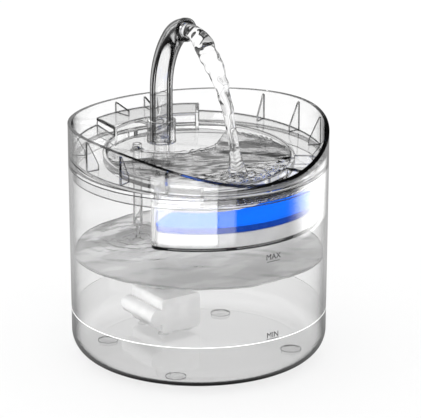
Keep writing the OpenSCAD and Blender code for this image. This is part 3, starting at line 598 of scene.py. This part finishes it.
# Open foam with a little painted glow in its own colour, an emission that stands in for light passed through it, and
# painted shade on its sides below a height.
def foamMaterial(name, s, paintedShadeBelow):
    material, tree, shader = newMaterial(name, Roughness=0.85, Specular_IOR_Level=0.0, Emission_Strength=s["glow"])
    pores = useGroup(tree, foamPores, Scale=s["scale"], Depth=0.7, Strut=s["strut"], Hole=s["hole"])
    # painted shade on the sides below a height
    low = ramp(tree, objectHeight(tree), paintedShadeBelow - 0.4 * mm, paintedShadeBelow + 0.2 * mm, 1.0, 0.0)
    color = darken(tree, low, pores["Color"], s["low"])
    tree.links.new(color, shader.inputs["Base Color"])
    # painted glow: the emission takes the same colour
    tree.links.new(color, shader.inputs["Emission Color"])
    tree.links.new(pores["Normal"], shader.inputs["Normal"])
    return material


granuleLooks = {
    "carbonBlack": {"scale": 620.0, "low": (0.012, 0.012, 0.013), "high": (0.06, 0.06, 0.065), "rough": 0.5},
    "resinAmber": {"scale": 1300.0, "low": (0.55, 0.22, 0.03), "high": (0.85, 0.50, 0.12), "rough": 0.25},
}


# A bed of granules, dark or amber.
def granuleMaterial(name, s):
    material, tree, shader = newMaterial(name, Roughness=s["rough"])
    bed = useGroup(tree, granules, Scale=s["scale"], Low=s["low"], High=s["high"])
    tree.links.new(bed["Color"], shader.inputs["Base Color"])
    tree.links.new(bed["Normal"], shader.inputs["Normal"])
    return material


# motor metals: way is the axis that their bands are stacked along
metalLooks = {
    "copperWire": {"color": (0.72, 0.30, 0.12), "dark": (0.30, 0.10, 0.04), "scale": 420.0, "rough": 0.30,
                   "way": "Z"},
    "steelSheets": {"color": (0.56, 0.56, 0.57), "dark": (0.25, 0.24, 0.23), "scale": 330.0, "rough": 0.38,
                    "way": "Y"},
}


# Wound wire or stacked sheets: bright bands with dark lines between them.
def metalMaterial(name, s):
    material, tree, shader = newMaterial(name, Metallic=1.0, Roughness=s["rough"])
    place = objectPlace(tree)
    bands = put(tree, "ShaderNodeTexWave", {"bands_direction": s["way"]}, Vector=place, Scale=s["scale"],
                Distortion=0.6, Detail=1.0)
    tone = ramp(tree, bands.outputs["Fac"], 0.1, 0.6)
    tree.links.new(mixColor(tree, tone, s["dark"], s["color"]), shader.inputs["Base Color"])
    tree.links.new(bump(tree, tone, 0.6, 0.1 * mm), shader.inputs["Normal"])
    return material


look = {name: clearPlastic(name, s) for name, s in clearLooks.items()}
look["rubberClear"] = rubberMaterial("rubberClear", rubberLook)
look.update({name: waterMaterial(name, s) for name, s in waterLooks.items()})
look.update({name: solidMaterial(name, s) for name, s in solidLooks.items()})
look.update({name: granuleMaterial(name, s) for name, s in granuleLooks.items()})
look.update({name: metalMaterial(name, s) for name, s in metalLooks.items()})
look["foamBlue"] = foamMaterial("foamBlue", foamLooks["foamBlue"], foamHigh[2] - 0.9 * mm)
look["spongeDark"] = foamMaterial("spongeDark", foamLooks["spongeDark"], spongeHigh[2])

nodeLooks = {
    "tankClear": ["tank"], "trayClear": ["tray"], "boxClear": ["filter_box"], "faucetClear": ["faucet"],
    "pipeClear": ["overflow_pipe"], "vinylClear": ["riser_tube"],
    "rubberClear": ["tank_feet", "suction_cups", "faucet_seal"], "caseWhite": ["filter_case"],
    "pumpWhite": ["pump_housing", "intake_cover", "volute_cover", "cord_gland"], "rotorWhite": ["impeller"],
    "magnetDark": ["rotor_magnet"], "ceramicPale": ["rotor_shaft"], "rubberBlack": ["shaft_bushes"],
    "carbonBlack": ["carbon_bed"], "resinAmber": ["resin_bed"], "copperWire": ["stator_coil"],
    "steelSheets": ["stator_core"], "pottingGrey": ["motor_potting"],
}
for name, members in nodeLooks.items():
    for member in members:
        nodes[member].data.materials.clear()
        nodes[member].data.materials.append(look[name])
print("materials built:", len(look))


# how a new piece becomes a mesh

# Rows of points run along the piece and each row closes round it. Every point is joined to the next in its
# row and to the next row. The first and last row close on their middle point, or on each other in a ring.
# If the volume comes out negative, the faces are turned round, so they always point outwards.
def closedSurface(name, rows, material, body, ring=False):
    rows = np.asarray(rows, float)
    m, n = rows.shape[:2]
    index = np.arange(m * n).reshape(m, n)
    a = index if ring else index[:-1]
    b = np.roll(index, -1, 0) if ring else index[1:]
    quads = np.stack([a, np.roll(a, -1, 1), np.roll(b, -1, 1), b], -1).reshape(-1, 4)
    points = rows.reshape(-1, 3)
    fans = np.zeros((0, 3), int)
    if not ring:
        points = np.vstack([points, rows[0].mean(0), rows[-1].mean(0)])
        first = np.stack([np.roll(index[0], -1), index[0], np.full(n, m * n)], 1)
        last = np.stack([index[-1], np.roll(index[-1], -1), np.full(n, m * n + 1)], 1)
        fans = np.vstack([first, last])
    triangles = np.vstack([quads[:, [0, 1, 2]], quads[:, [0, 2, 3]], fans])
    p, q, r = (points[triangles[:, k]] for k in range(3))
    if np.einsum("ij,ij->i", p, np.cross(q, r)).sum() < 0:
        quads, fans = quads[:, ::-1], fans[:, ::-1]
    mesh = bpy.data.meshes.new(name)
    mesh.from_pydata(points.tolist(), [], quads.tolist() + fans.tolist())
    mesh.polygons.foreach_set("use_smooth", np.ones(len(mesh.polygons), bool))
    mesh.update()
    return addPiece(name, mesh, material, body)


# A mesh as a piece of its own: its look, the body that it rides on and the slot of its finish.
def addPiece(name, mesh, material, body):
    piece = bpy.data.objects.new(name, mesh)
    bpy.context.scene.collection.objects.link(piece)
    mesh.materials.append(look[material])
    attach(piece, body)
    return piece


# A sum of sine waves that run in seeded directions, with seeded lengths and phases; each has a height of 1
# over the root of how many there are.
def ripples(x, y, seed, count, shortest, longest, heading=0.0, spread=np.pi):
    draw = np.random.default_rng(seed)
    way = heading + draw.uniform(-spread, spread, count)
    wave = 2 * np.pi / draw.uniform(shortest, longest, count)
    phase = draw.uniform(0, 2 * np.pi, count)
    x, y = np.asarray(x)[..., None], np.asarray(y)[..., None]
    return np.sin(wave * (x * np.cos(way) + y * np.sin(way)) + phase).sum(-1) / np.sqrt(count)


# Rings that spread from a point: a cosine of the distance that dies away with it.
def rings(x, y, center, length, reach):
    distance = np.hypot(x - center[0], y - center[1])
    return np.cos(2 * np.pi * distance / length) * np.exp(-distance / reach)


# blue foam pad, which replaces its plain solid

foam = {
    "depth": 30.9 * mm,      # from its outer curve to its inner one
    "reach": 58.0,           # of its ends from the front, in degrees
    "inset": 2.6 * mm,       # of its ends from that line
    "corner": 7.5 * mm,
    "round": 1.1 * mm,
    "lump": 0.10 * mm,
    "lumps": (3, 14, 2.5 * mm, 9 * mm),    # seed, how many waves, shortest and longest
    "taper": 0.04,           # where the first row lies, as an angle of the corner's circle
}


# How much narrower a piece is at a distance from its end, where its corners are quarter circles.
def roundedBy(corner, distance):
    return corner - np.sqrt(np.clip(corner ** 2 - np.clip(corner - distance, 0, None) ** 2, 0, None))


# One closed turn round a rectangle with round corners: where each point sits, from -1 to 1 across and up,
# and which way it is moved outwards by the rounding.
def roundedLoop(across, up, turn):
    edge = np.linspace(-1, 1, across + 2)[1:-1]
    side = np.linspace(-1, 1, up + 2)[1:-1]
    sit, push = [], []
    for k, line in enumerate((edge, side, edge, side)):
        a = np.radians(90 - 90 * k)
        outward = np.array([np.cos(a), np.sin(a)])
        along = np.array([np.sin(a), -np.cos(a)])
        sit.append(outward + line[:, None] * along)
        push.append(np.tile(outward, (len(line), 1)))
        corner = np.radians(90 - 90 * k - np.linspace(0, 90, turn))
        sit.append(np.tile(outward + along, (turn, 1)))
        push.append(np.stack([np.cos(corner), np.sin(corner)], 1))
    return np.vstack(sit), np.vstack(push)


# Rows run from end to end along the band and each row goes once round its section. Towards the ends the
# section gets narrower by the corners of the plan and thinner by the rounding of the edges.
def buildFoam(s):
    outer, low, high = -foamLow[1], foamLow[2], foamHigh[2]
    middle, half, thick = outer - s["depth"] / 2, s["depth"] / 2, (high - low) / 2
    reach = math.radians(s["reach"])
    near = s["corner"] * (1 - np.cos(np.linspace(s["taper"], np.pi / 2, 16)))
    far = np.linspace(near[-1], reach * middle, 70)[1:]
    fromEnd = np.concatenate([near, far])
    fromEnd = np.concatenate([fromEnd, fromEnd[-2::-1]])[:, None]
    share = np.linspace(-1, 1, len(fromEnd))[:, None]
    share = np.sign(share) * (1 - fromEnd / (reach * middle))
    sit, push = roundedLoop(26, 5, 5)
    edge = roundedBy(s["round"], fromEnd)
    halfHere = half - roundedBy(s["corner"], fromEnd) - s["round"]
    radius = middle + sit[:, 0] * halfHere + push[:, 0] * (s["round"] - edge)
    z = (low + high) / 2 + sit[:, 1] * (thick - s["round"]) + push[:, 1] * (s["round"] - edge)
    lumps = ripples(radius * np.cos(share) * 3, share * 0.1 + z * 2, *s["lumps"])
    radius -= push[:, 0] * s["lump"] * (1 + lumps)
    z -= push[:, 1] * s["lump"] * (1 + lumps)
    angle = share * (reach - np.arcsin(s["inset"] / radius))
    rows = np.stack([radius * np.sin(angle), -radius * np.cos(angle), z], -1)
    pad = closedSurface("foamPad", rows, "foamBlue", "filter")
    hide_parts("foam_pad")


buildFoam(foam)


# intake sponge, a block with soft edges, which replaces its plain solid

sponge = {"power": 0.28, "rows": 40, "columns": 96, "lump": 0.12 * mm, "lumps": (5, 12, 1.5 * mm, 5 * mm)}


# A value raised to a power without losing its sign.
def flattened(value, power):
    return np.sign(value) * np.abs(value) ** power


# A block as a ball with its sines and cosines raised to a small power, which flattens its sides.
def buildSponge(s):
    up = np.linspace(-np.pi / 2, np.pi / 2, s["rows"] + 2)[1:-1][:, None]
    turn = np.linspace(0, 2 * np.pi, s["columns"], endpoint=False)[None, :]
    half, middle = (spongeHigh - spongeLow) / 2, (spongeHigh + spongeLow) / 2
    out, rise, x, y = (flattened(v, s["power"]) for v in (np.cos(up), np.sin(up), np.cos(turn), np.sin(turn)))
    rows = middle + np.stack([out * x, out * y, rise + 0 * turn], -1) * half
    lumps = np.abs(ripples(rows[..., 0], rows[..., 2] + rows[..., 1], *s["lumps"]))
    rows = middle + (rows - middle) * (1 - lumps[..., None] * s["lump"] / half.min())
    block = closedSurface("intakeSponge", rows, "spongeDark", "base")
    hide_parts("intake_sponge")


buildSponge(sponge)
print("foam and sponge built")


# water in the reservoir: a thin sheet with a rippled top

reservoirWater = {
    "below": 62.8 * mm,      # from the seam down to the water
    "wall": 2.75 * mm,       # wall of the reservoir and a hair of air
    "draft": 0.9 * mm,
    "thick": 0.9 * mm,
    "swell": 0.35 * mm, "swellWaves": (12, 8, 24 * mm, 60 * mm),    # height; seed, count, shortest, longest
    "streaks": 0.10 * mm, "streakWaves": (11, 7, 11 * mm, 20 * mm),
    "streakSpread": 0.6,     # how far they stray from the camera's way, in radians
    "rough": 0.35 * mm, "roughWaves": (13, 10, 3.5 * mm, 8 * mm), "roughReach": 22 * mm,
    "drip": 1.0 * mm, "dripRings": (8.5 * mm, 15 * mm),    # height; length and reach of the rings
    "creep": 0.7 * mm, "creepWidth": 1.6 * mm,    # how high and how wide the water climbs at the wall
    "rings": 88, "columns": 300,
}


# Top and bottom of a sheet of water over a round plan: rows go from the middle of the top out to its edge,
# over the edge, and back in below.
def waterSheet(name, plan, top, thick, material, body):
    under = top - thick
    topRows = np.concatenate([plan, top[..., None]], -1)
    lowRows = np.concatenate([plan, under[..., None]], -1)[::-1]
    return closedSurface(name, np.concatenate([topRows, lowRows]), material, body)


# The top is its level, plus long swells, streaks that run the camera's way, rings and small rough waves that
# die away from where the overflow falls in, and the creep up the wall, which dies away inwards.
def buildReservoirWater(s):
    level = seamHeight - s["below"]
    radius = tankRadius - s["wall"] - s["draft"] * s["below"] / seamHeight
    out = (np.linspace(0.012, 1, s["rings"]) * radius)[:, None]
    turn = np.linspace(0, 2 * np.pi, s["columns"], endpoint=False)[None, :]
    x, y = out * np.cos(turn), out * np.sin(turn)
    toView = math.radians(shot["azimuth"] - 90)
    top = level + s["streaks"] * ripples(x, y, *s["streakWaves"], toView, s["streakSpread"])
    top += s["swell"] * ripples(x, y, *s["swellWaves"])
    top += s["drip"] * rings(x, y, (pipeX, pipeY), *s["dripRings"])
    fromPipe = np.hypot(x - pipeX, y - pipeY)
    top += s["rough"] * ripples(x, y, *s["roughWaves"]) * np.exp(-fromPipe / s["roughReach"])
    top += s["creep"] * np.exp(-(radius - out) / s["creepWidth"])
    waterSheet("reservoirWater", np.stack([x, y], -1), top, s["thick"], "reservoirWaterLook", "base")
    return level


waterLevel = buildReservoirWater(reservoirWater)


# water in the drinking basin

basinWater = {
    "above": 2.9 * mm,       # from the seam up to the water
    "floor": 1.17 * mm,      # from the seam up to the basin's floor, at the middle
    "slope": 3.1,            # of the basin's floor, in degrees
    "inset": 26.1 * mm,      # from the outer wall to the basin's inner wall
    "landing": (0.0, -46.8 * mm),
    "middle": (0.0, -22 * mm),
    "thick": 0.9 * mm, "thinnest": 0.25 * mm, "overFloor": 0.12 * mm,
    "shore": 12 * mm, "shoreMiddle": 8 * mm, "shoreBend": 60 * mm,
    "shoreWave": 1.2 * mm, "shoreLength": 5 * mm,
    "chop": 0.85 * mm, "chopWaves": (21, 14, 4.5 * mm, 11 * mm),    # height; seed, count, shortest, longest
    "chopFrom": -32 * mm, "chopOver": 18 * mm, "calm": 0.03,    # where the chop grows, and what is left of it
    "swell": 0.45 * mm, "swellWaves": (22, 6, 30 * mm, 75 * mm),
    "crown": 0.8 * mm, "crownRings": (13 * mm, 15 * mm), "crownLobes": 0.35,
    "lip": 0.9 * mm, "lipWidth": 3.2 * mm,
    "lipRough": 0.5 * mm, "lipWaves": (23, 8, 3 * mm, 7 * mm),
    "columns": 420, "rings": 110,
}


# The edge follows the basin's wall; at the back it follows a hollow curve round the faucet's foot, where
# the sloping floor comes out of the water: a parabola with a sine on it. The top is its level, plus chop that
# grows towards the front, long swells, a crown of rings in five lobes where the stream lands, and a lip at
# the back that dies away from the edge. It never goes below the floor.
def buildBasinWater(s):
    level = seamHeight + s["above"]
    wall = tankRadius - s["inset"]
    cx, cy = s["middle"]
    turn = np.linspace(0, 2 * np.pi, s["columns"], endpoint=False)
    reach = np.linspace(0, 0.1, 1500)[:, None]
    x, y = cx + reach * np.cos(turn), cy + reach * np.sin(turn)
    shore = s["shore"] + (x - s["shoreMiddle"]) ** 2 / s["shoreBend"]
    shore += s["shoreWave"] * np.sin(x / s["shoreLength"])
    wet = (np.hypot(x, y) < wall) & (y < shore)
    edge = reach[np.cumprod(wet, 0).sum(0) - 1, 0]
    blur = np.exp(-np.linspace(-2, 2, 9) ** 2)
    edge = np.convolve(np.pad(edge, 4, "wrap"), blur / blur.sum(), "valid")
    out = np.linspace(0.01, 1, s["rings"])[:, None] * edge
    x, y = cx + out * np.cos(turn), cy + out * np.sin(turn)
    bed = seamHeight + s["floor"] + y * math.tan(math.radians(s["slope"]))
    lx, ly = s["landing"]
    front = s["calm"] + np.clip((s["chopFrom"] - y) / s["chopOver"], 0, 1)
    lobes = 1 + s["crownLobes"] * np.sin(5 * np.arctan2(y - ly, x - lx) + 1)
    back = np.exp(-((edge - out) / s["lipWidth"]) ** 2) * (np.sin(turn) > 0.35)
    top = level + s["chop"] * ripples(x, y, *s["chopWaves"]) * front
    top += s["swell"] * ripples(x, y, *s["swellWaves"])
    top += s["crown"] * rings(x, y, (lx, ly), *s["crownRings"]) * lobes
    top += back * (s["lip"] + s["lipRough"] * ripples(x, y, *s["lipWaves"]))
    under = np.maximum(level - s["thick"], bed + s["overFloor"])
    top = np.maximum(top, under + s["thinnest"])
    waterSheet("basinWater", np.stack([x, y], -1), top, top - under, "basinWaterLook", "tray")
    return level


basinLevel = buildBasinWater(basinWater)
print("water levels:", round(waterLevel / mm, 1), round(basinLevel / mm, 1))


# stream from the faucet into the basin

stream = {
    "speed": 0.62, "drag": 1.25,     # metres a second out of the mouth, and how fast that is lost
    "gravity": 9.81,
    "start": 4.0 * mm,               # how far inside the mouth it begins
    "radius": (4.6, 5.6, 6.4, 6.6, 6.2, 5.6, 5.0, 4.4, 4.4, 3.6, 3.4, 5.5),   # in mm, at equal times
    "lobes": ((0.13, 2, -11), (0.08, 3, 14), (0.05, 5, -23)),    # height, how many, turn on the way down
    "beads": 0.05, "beadWaves": (31, 12, 5 * mm, 14 * mm),
    "sway": 0.6 * mm,
    "rows": 220, "columns": 64,
}


# The middle runs out by speed times time less the drag, and down by half gravity times time squared. The
# section is a circle with two, three and five slow lobes that turn on the way down, like a twisted rope.
def buildStream(s):
    mouthY, mouthZ = faucetLow[1], faucetHigh[2] - faucetHigh[0]
    fall = mouthZ - basinLevel + 0.4 * mm
    ends = math.sqrt(2 * fall / s["gravity"])
    t = np.linspace(-s["start"] / s["speed"], ends, s["rows"])
    late = np.clip(t, 0, None)
    y = mouthY - s["speed"] * t + s["drag"] * late ** 2
    z = mouthZ - s["gravity"] * late ** 2 / 2
    share = (t - t[0]) / (t[-1] - t[0])
    radius = np.interp(share, np.linspace(0, 1, len(s["radius"])), s["radius"]) * mm
    along = np.stack([np.gradient(y), np.gradient(z)], 1)
    along /= np.hypot(*along.T)[:, None]
    turn = np.linspace(0, 2 * np.pi, s["columns"], endpoint=False)[None, :]
    w = share[:, None]
    free = np.clip((w - 0.06) / 0.1, 0, 1)
    lobes = sum(height * np.cos(count * turn + twist * w) for height, count, twist in s["lobes"])
    beads = s["beads"] * ripples(turn * 4 * mm, w * 90 * mm, *s["beadWaves"], np.pi / 2, 0.5)
    r = radius[:, None] * (1 + free * (lobes + beads))
    across, up = r * np.cos(turn), r * np.sin(turn)
    sway = s["sway"] * np.sin(9 * w + 1) * free
    rows = np.stack([across + sway, y[:, None] - up * along[:, 1:2], z[:, None] + up * along[:, :1]], -1)
    closedSurface("stream", rows, "streamLook", "faucet")


buildStream(stream)


# a thin fall of water from the overflow pipe

overflow = {
    "radius": (1.8, 1.7, 1.5, 1.3, 1.4, 2.2),    # in mm, at equal heights
    "lobes": ((0.10, 2, 14), (0.06, 3, -20)),
    "inside": 6 * mm,        # how far up the pipe it begins
    "rows": 60, "columns": 32,
}


# A circle that goes straight down, its radius drawn along with two and three lobes that turn.
def buildOverflow(s):
    z = np.linspace(pipeLow[2] + s["inside"], waterLevel - 0.3 * mm, s["rows"])
    share = np.linspace(0, 1, s["rows"])
    radius = np.interp(share, np.linspace(0, 1, len(s["radius"])), s["radius"])[:, None] * mm
    turn = np.linspace(0, 2 * np.pi, s["columns"], endpoint=False)[None, :]
    w = share[:, None]
    r = radius * (1 + sum(height * np.sin(count * turn + twist * w) for height, count, twist in s["lobes"]))
    rows = np.stack([pipeX + r * np.cos(turn), pipeY + r * np.sin(turn), z[:, None] + 0 * r], -1)
    closedSurface("overflowFall", rows, "streamLook", "tray")


buildOverflow(overflow)
print("streams built")


# level marks on the reservoir's front

marks = {
    "draft": 0.9 * mm,
    "ink": 0.09 * mm,        # how thick the print is, and how far it stands off the wall
    "off": 0.01 * mm,
    "maxHeight": 95.2 * mm, "minHeight": 39.0 * mm,    # middle of each word
    "letter": 5.6 * mm,
    "lineHeight": seamHeight - 104.0 * mm, "lineWidth": 0.45 * mm,
    "barWidth": 10.2 * mm, "barThick": 0.32 * mm,
    "maxBarBelow": 3.2 * mm, "minBarBelow": 2.5 * mm,
}


# The reservoir narrows by its draft from the seam down to its foot.
def wallRadius(z):
    return tankRadius - marks["draft"] * (1 - z / seamHeight)


# Bends flat points onto the reservoir's front: x becomes an angle, y the height and z the distance outwards.
def bendOnWall(points, height):
    z = height + points[:, 1]
    radius = wallRadius(z) + points[:, 2]
    angle = points[:, 0] / tankRadius
    return np.stack([radius * np.sin(angle), -radius * np.cos(angle), z], 1)


# Printed letters: a flat text, made a mesh, moved outwards by half its thickness and bent onto the wall.
def buildWord(text, height, s):
    curve = bpy.data.curves.new(text, "FONT")
    curve.body, curve.size = text, s["letter"]
    curve.align_x, curve.align_y = "CENTER", "CENTER"
    curve.extrude = s["ink"] / 2
    flat = bpy.data.objects.new(text, curve)
    bpy.context.scene.collection.objects.link(flat)
    bpy.context.view_layer.update()
    mesh = bpy.data.meshes.new_from_object(flat)
    bpy.data.objects.remove(flat)
    points = np.zeros(len(mesh.vertices) * 3)
    mesh.vertices.foreach_get("co", points)
    points = points.reshape(-1, 3)
    points[:, 2] += s["ink"] / 2 + s["off"]
    mesh.vertices.foreach_set("co", bendOnWall(points, height).ravel())
    mesh.materials.clear()
    mesh.update()
    addPiece("levelWord" + text.capitalize(), mesh, "inkBlack", "base")


# A thin bar: rows along it, four corners round it.
def buildBar(name, height, s):
    across = np.linspace(-s["barWidth"] / 2, s["barWidth"] / 2, 25)
    corner = np.array([(-1, 0), (1, 0), (1, 1), (-1, 1)], float)
    rows = np.stack([bendOnWall(np.column_stack([across, np.full(25, c[0] * s["barThick"] / 2),
                                                 np.full(25, s["off"] + c[1] * s["ink"])]), height)
                     for c in corner], 1)
    closedSurface(name, rows, "inkBlack", "base")


# A flat band round the wall: rows round the reservoir, four corners in each.
def buildLevelLine(s):
    turn = np.linspace(0, 2 * np.pi, 240, endpoint=False)
    rows = []
    for side, proud in ((-1, 0), (1, 0), (1, 1), (-1, 1)):
        z = s["lineHeight"] + side * s["lineWidth"] / 2
        r = wallRadius(z) + s["off"] + proud * s["ink"]
        rows.append(np.stack([r * np.cos(turn), r * np.sin(turn), 0 * turn + z], -1))
    closedSurface("minLine", np.stack(rows, 1), "lineWhite", "base", ring=True)


buildWord("MAX", marks["maxHeight"], marks)
buildWord("MIN", marks["minHeight"], marks)
buildBar("maxBar", marks["maxHeight"] - marks["maxBarBelow"], marks)
buildBar("minBar", marks["minHeight"] - marks["minBarBelow"], marks)
buildLevelLine(marks)
print("marks built")
